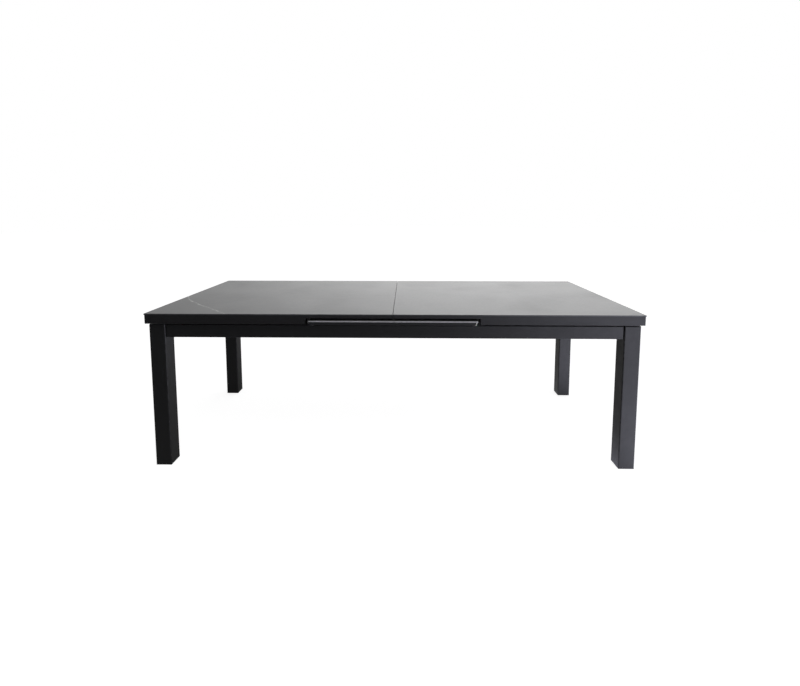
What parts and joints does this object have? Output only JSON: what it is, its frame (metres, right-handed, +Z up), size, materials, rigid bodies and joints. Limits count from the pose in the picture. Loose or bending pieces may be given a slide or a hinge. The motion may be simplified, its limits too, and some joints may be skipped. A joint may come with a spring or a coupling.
{
  "type": "extending dining table",
  "caption": "Extending dining table with four square legs, a dark metal frame, a grey stone top in two sliding halves and an extension leaf stored in a slot below the seam.",
  "frame": {"origin": "on the floor under the middle of the closed top", "axes": "+X along the length of the table to the right, +Y from the front to the back, +Z up"},
  "size_m": [2.3, 0.95, 0.75],
  "materials": {
    "stone": "satin sintered stone, dark grey with a fine light vein",
    "frame_paint": "fine-textured anthracite powder coat on aluminium",
    "track_aluminium": "mill-finish extrusion",
    "zinc_steel": "zinc-plated steel",
    "nylon": "natural nylon",
    "foot_plastic": "black moulded plastic",
    "cap_plastic": "black-grey moulded plastic",
    "rubber_black": "black rubber"
  },
  "bodies": {
    "frame": {"leg_front_left": "frame_paint", "leg_front_right": "frame_paint", "leg_back_left": "frame_paint", "leg_back_right": "frame_paint", "foot_caps": "foot_plastic", "long_rail_front": "frame_paint", "long_rail_back": "frame_paint", "end_rail_left": "frame_paint", "end_rail_right": "frame_paint", "corner_brackets": "zinc_steel", "bracket_bolts": "zinc_steel", "roller_track_front": "track_aluminium", "roller_track_back": "track_aluminium", "track_screws": "zinc_steel", "cross_braces": "frame_paint", "leaf_glides": "nylon", "leaf_guides": "frame_paint", "travel_stops": "rubber_black", "roller_studs": "zinc_steel"},
    "top_left": {"slab_left": "stone", "skirt_front_left": "frame_paint", "skirt_back_left": "frame_paint", "skirt_end_left": "frame_paint", "seam_bar_left": "frame_paint", "flat_ribs_left": "frame_paint", "cross_ribs_left": "frame_paint", "carriage_rails_left": "frame_paint", "runner_beams_left": "track_aluminium", "hanger_plates_left": "track_aluminium", "hanger_screws_left": "zinc_steel", "wheel_axles_left": "zinc_steel", "seam_pins": "zinc_steel"},
    "top_right": {"slab_right": "stone", "skirt_front_right": "frame_paint", "skirt_back_right": "frame_paint", "skirt_end_right": "frame_paint", "seam_bar_right": "frame_paint", "flat_ribs_right": "frame_paint", "cross_ribs_right": "frame_paint", "carriage_rails_right": "frame_paint", "runner_beams_right": "track_aluminium", "hanger_plates_right": "track_aluminium", "hanger_screws_right": "zinc_steel", "wheel_axles_right": "zinc_steel"},
    "leaf": {"leaf_slab": "stone", "leaf_front_rail": "frame_paint", "leaf_back_rail": "frame_paint", "leaf_side_rails": "frame_paint", "leaf_ribs": "frame_paint", "leaf_end_caps": "cap_plastic", "leaf_pins": "zinc_steel", "leaf_stops": "rubber_black"},
    "wheel_front_left": {"wheel_front_left": "nylon"},
    "roller_front_left": {"roller_front_left": "nylon"},
    "wheel_back_left": {"wheel_back_left": "nylon"},
    "roller_back_left": {"roller_back_left": "nylon"},
    "wheel_front_right": {"wheel_front_right": "nylon"},
    "roller_front_right": {"roller_front_right": "nylon"},
    "wheel_back_right": {"wheel_back_right": "nylon"},
    "roller_back_right": {"roller_back_right": "nylon"}
  },
  "joints": [
    {"name": "top_left_slide", "type": "slide", "parent": "frame", "child": "top_left", "axis": [-1, 0, 0], "range_m": [0, 0.391]},
    {"name": "top_right_slide", "type": "slide", "parent": "frame", "child": "top_right", "axis": [1, 0, 0], "range_m": [0, 0.391]},
    {"name": "leaf_slide", "type": "slide", "parent": "frame", "child": "leaf", "axis": [0, -1, 0], "range_m": [0, 0.4]},
    {"name": "wheel_front_left_spin", "type": "hinge", "parent": "top_left", "child": "wheel_front_left", "pos_m": [-0.035, -0.404, 0.663], "axis": [0, 1, 0], "continuous": true},
    {"name": "roller_front_left_spin", "type": "hinge", "parent": "frame", "child": "roller_front_left", "pos_m": [-1.036, -0.373, 0.6897], "axis": [0, 1, 0], "continuous": true},
    {"name": "wheel_back_left_spin", "type": "hinge", "parent": "top_left", "child": "wheel_back_left", "pos_m": [-0.035, 0.404, 0.663], "axis": [0, 1, 0], "continuous": true},
    {"name": "roller_back_left_spin", "type": "hinge", "parent": "frame", "child": "roller_back_left", "pos_m": [-1.036, 0.373, 0.6897], "axis": [0, 1, 0], "continuous": true},
    {"name": "wheel_front_right_spin", "type": "hinge", "parent": "top_right", "child": "wheel_front_right", "pos_m": [0.035, -0.404, 0.663], "axis": [0, 1, 0], "continuous": true},
    {"name": "roller_front_right_spin", "type": "hinge", "parent": "frame", "child": "roller_front_right", "pos_m": [1.036, -0.373, 0.6897], "axis": [0, 1, 0], "continuous": true},
    {"name": "wheel_back_right_spin", "type": "hinge", "parent": "top_right", "child": "wheel_back_right", "pos_m": [0.035, 0.404, 0.663], "axis": [0, 1, 0], "continuous": true},
    {"name": "roller_back_right_spin", "type": "hinge", "parent": "frame", "child": "roller_back_right", "pos_m": [1.036, 0.373, 0.6897], "axis": [0, 1, 0], "continuous": true}
  ],
  "couplings": [
    {"joint": "wheel_front_left_spin", "follows": "top_left_slide", "rad_per_m": -52.632},
    {"joint": "roller_front_left_spin", "follows": "top_left_slide", "rad_per_m": -83.333},
    {"joint": "wheel_back_left_spin", "follows": "top_left_slide", "rad_per_m": -52.632},
    {"joint": "roller_back_left_spin", "follows": "top_left_slide", "rad_per_m": -83.333},
    {"joint": "wheel_front_right_spin", "follows": "top_right_slide", "rad_per_m": 52.632},
    {"joint": "roller_front_right_spin", "follows": "top_right_slide", "rad_per_m": 83.333},
    {"joint": "wheel_back_right_spin", "follows": "top_right_slide", "rad_per_m": 52.632},
    {"joint": "roller_back_right_spin", "follows": "top_right_slide", "rad_per_m": 83.333}
  ]
}
